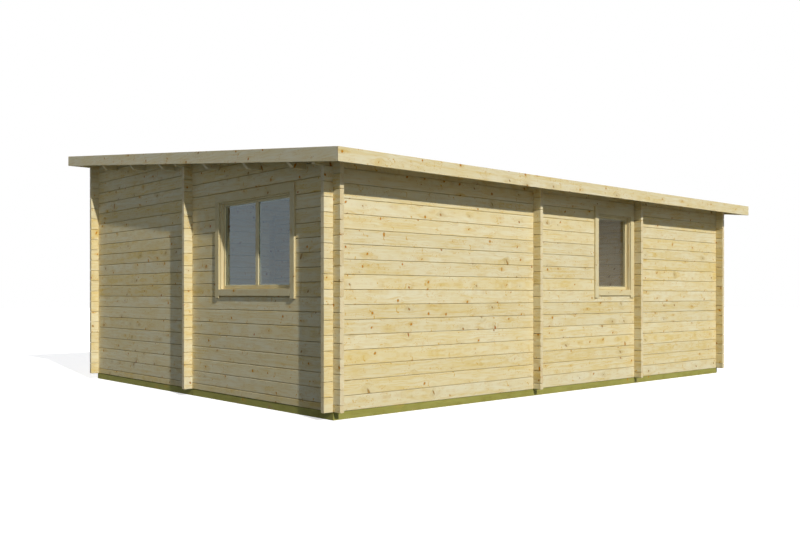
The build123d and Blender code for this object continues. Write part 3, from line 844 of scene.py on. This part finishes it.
def door_mouldings():
    """Strips around the panel and the pane, a raised field on the panel, and a drip board."""
    low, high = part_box("door_leaf")
    glass_low, glass_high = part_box("door_glass")
    sides = (glass_low.x + PANEL_REBATE + 2 * PIECE_GAP, glass_high.x - PANEL_REBATE - 2 * PIECE_GAP)
    pane = (glass_low.z + PANEL_REBATE + PIECE_GAP, glass_high.z - PANEL_REBATE - PIECE_GAP)
    panel = (low.z + STILE + PIECE_GAP, pane[0] - STILE - 2 * PIECE_GAP)
    panel_face = high.y - PANEL_SETBACK + PIECE_GAP
    made = Builder()
    for depth, heights in (
        ((panel_face, high.y - MOULDING_SETBACK), panel),
        ((glass_high.y + PIECE_GAP, glass_high.y + MOULDING), pane),
        ((glass_low.y - PIECE_GAP, glass_low.y - MOULDING), pane),
    ):
        strip_ring(made, 1, depth, sides, heights, MOULDING, MOULDING_EASE)

    field_low = (sides[0] + FIELD_MARGIN, panel_face, panel[0] + FIELD_MARGIN)
    field = slab(field_low, (sides[1] - FIELD_MARGIN, high.y - FIELD_SETBACK, panel[1] - FIELD_MARGIN))
    centre = ((sides[0] + sides[1]) / 2, (panel[0] + panel[1]) / 2)
    for v in field.verts:
        if v.co.y > panel_face + WELD:
            v.co.x -= math.copysign(FIELD_SLOPE, v.co.x - centre[0])
            v.co.z -= math.copysign(FIELD_SLOPE, v.co.z - centre[1])
    field.normal_update()
    made.take(field)

    drip_foot = low.z + DRIP_INSET
    drip_low = (low.x + DRIP_INSET, high.y + PIECE_GAP, drip_foot)
    drip = slab(drip_low, (high.x - DRIP_INSET, high.y + DRIP_DEPTH, drip_foot + DRIP_HEIGHT))
    for v in drip.verts:
        if v.co.y > high.y + DRIP_DEPTH / 2 and v.co.z > drip_foot + DRIP_HEIGHT / 2:
            v.co.z -= DRIP_FALL
    drip.normal_update()
    bevel(drip, sharp_edges(drip), DRIP_EASE)
    made.take(drip)
    made.piece("door_mouldings", "joinery_timber")


for wall in LOG_WALLS:
    dress(wall, is_log=True)
for node, slot in SLOT_OF.items():
    if slot in ("joinery_timber", "bearer_timber") or node.endswith(("purlins", "fascia")):
        dress(node)
    elif slot == "window_glass":
        mesh = frame["nodes"][node].data
        mesh.materials.clear()
        mesh.materials.append(CLEAR_GLASS if node in CLEAR_PANES else FINISH[slot])
for opening in OUTWARD:
    glazing_beads(opening)
    frame_stops(opening)
door_handle()
door_hinges()
door_mouldings()
roof_boards()
floor_boards()
roof_felt()


def add_stage():
    """A floor and world that show white, with the light on the object kept at a plain level."""
    def seen_directly(n):
        path = n.add("ShaderNodeLightPath", {}, {}).node.outputs
        seen = n.math("MAXIMUM", path["Is Camera Ray"], path["Is Glossy Ray"])
        return n.math("MAXIMUM", seen, path["Is Transmission Ray"])

    world = bpy.data.worlds.new("studio")
    bpy.context.scene.world = world
    world.use_nodes = True
    n = Nodes(world.node_tree)
    _, _, up = n.split(n.add("ShaderNodeTexCoord", {}, {}, 0))
    sky = n.blend(n.ease(up, 0.0, 0.5), rgb(*SKY_LOW), rgb(*SKY_HIGH))
    shade = n.blend(seen_directly(n), sky, rgb(1, 1, 1))
    n.tree.links.new(shade, world.node_tree.nodes["Background"].inputs["Color"])

    material, n, shader = new_material("studio_floor")
    n.tree.nodes.remove(shader)
    dim = n.add("ShaderNodeBsdfDiffuse", {}, {"Color": rgb(*FLOOR_BOUNCE)})
    white = n.add("ShaderNodeBsdfDiffuse", {}, {"Color": rgb(FLOOR_WHITE, FLOOR_WHITE, FLOOR_WHITE)})
    glow = n.add("ShaderNodeEmission", {}, {"Color": rgb(1, 1, 1), "Strength": FLOOR_GLOW})
    bright = n.add("ShaderNodeAddShader", {}, {0: white, 1: glow})
    both = n.add("ShaderNodeMixShader", {}, {0: seen_directly(n), 1: dim, 2: bright})
    n.tree.links.new(both, n.tree.nodes["Material Output"].inputs["Surface"])
    mesh = bpy.data.meshes.new("studio_floor")
    corners = [(x * FLOOR_REACH, y * FLOOR_REACH, -FLOOR_DROP) for x, y in ((-1, -1), (1, -1), (1, 1), (-1, 1))]
    mesh.from_pydata(corners, [], [(0, 1, 2, 3)])
    mesh.materials.append(material)
    floor = bpy.data.objects.new("studio_floor", mesh)
    bpy.context.scene.collection.objects.link(floor)


def add_lamp(name, travel, level, spread, colour):
    """A distant lamp whose light travels in one direction."""
    lamp = bpy.data.lights.new(name, "SUN")
    lamp.energy = level * math.pi
    lamp.angle = spread
    lamp.color = colour
    obj = bpy.data.objects.new(name, lamp)
    obj.rotation_euler = Vector(travel).to_track_quat("-Z", "Y").to_euler()
    bpy.context.scene.collection.objects.link(obj)


def add_room_lamp(name, place):
    """A weak lamp inside a room, which isn't seen itself."""
    lamp = bpy.data.lights.new(name, "POINT")
    lamp.energy = ROOM_LAMP_WATTS
    lamp.shadow_soft_size = ROOM_LAMP_SIZE
    lamp.color = ROOM_LAMP_COLOUR
    obj = bpy.data.objects.new(name, lamp)
    obj.location = place
    obj.visible_camera = obj.visible_glossy = obj.visible_transmission = False
    bpy.context.scene.collection.objects.link(obj)


def add_camera():
    """A level camera, with its frame shifted to the photograph's horizon."""
    camera = bpy.data.cameras.new("camera")
    camera.sensor_width = 36.0
    camera.lens = FOCAL_LENGTH / IMAGE_WIDTH * camera.sensor_width
    camera.shift_y = (HORIZON_ROW - MIDDLE_ROW) / IMAGE_WIDTH
    obj = bpy.data.objects.new("camera", camera)
    bpy.context.scene.collection.objects.link(obj)
    forward = Vector(CAMERA_FORWARD).normalized()
    up = Vector((0, 0, 1))
    turn = Matrix((forward.cross(up), up, -forward)).transposed().to_4x4()
    turn.translation = Vector(CAMERA_PLACE)
    obj.matrix_world = turn
    bpy.context.scene.camera = obj


add_stage()
add_lamp("sun", SUN_TRAVEL, SUN_LEVEL, SUN_SPREAD, SUN_COLOUR)
add_lamp("front_fill", FRONT_FILL_TRAVEL, FRONT_FILL_LEVEL, FRONT_FILL_SPREAD, FRONT_FILL_COLOUR)
add_lamp("back_fill", BACK_FILL_TRAVEL, BACK_FILL_LEVEL, BACK_FILL_SPREAD, BACK_FILL_COLOUR)
for i, x in enumerate(ROOM_LAMP_XS):
    for j, y in enumerate(ROOM_LAMP_YS):
        add_room_lamp("room_lamp_%d%d" % (i, j), (x, y, ROOM_LAMP_Z))
add_camera()
bpy.context.scene.view_settings.view_transform = "Standard"
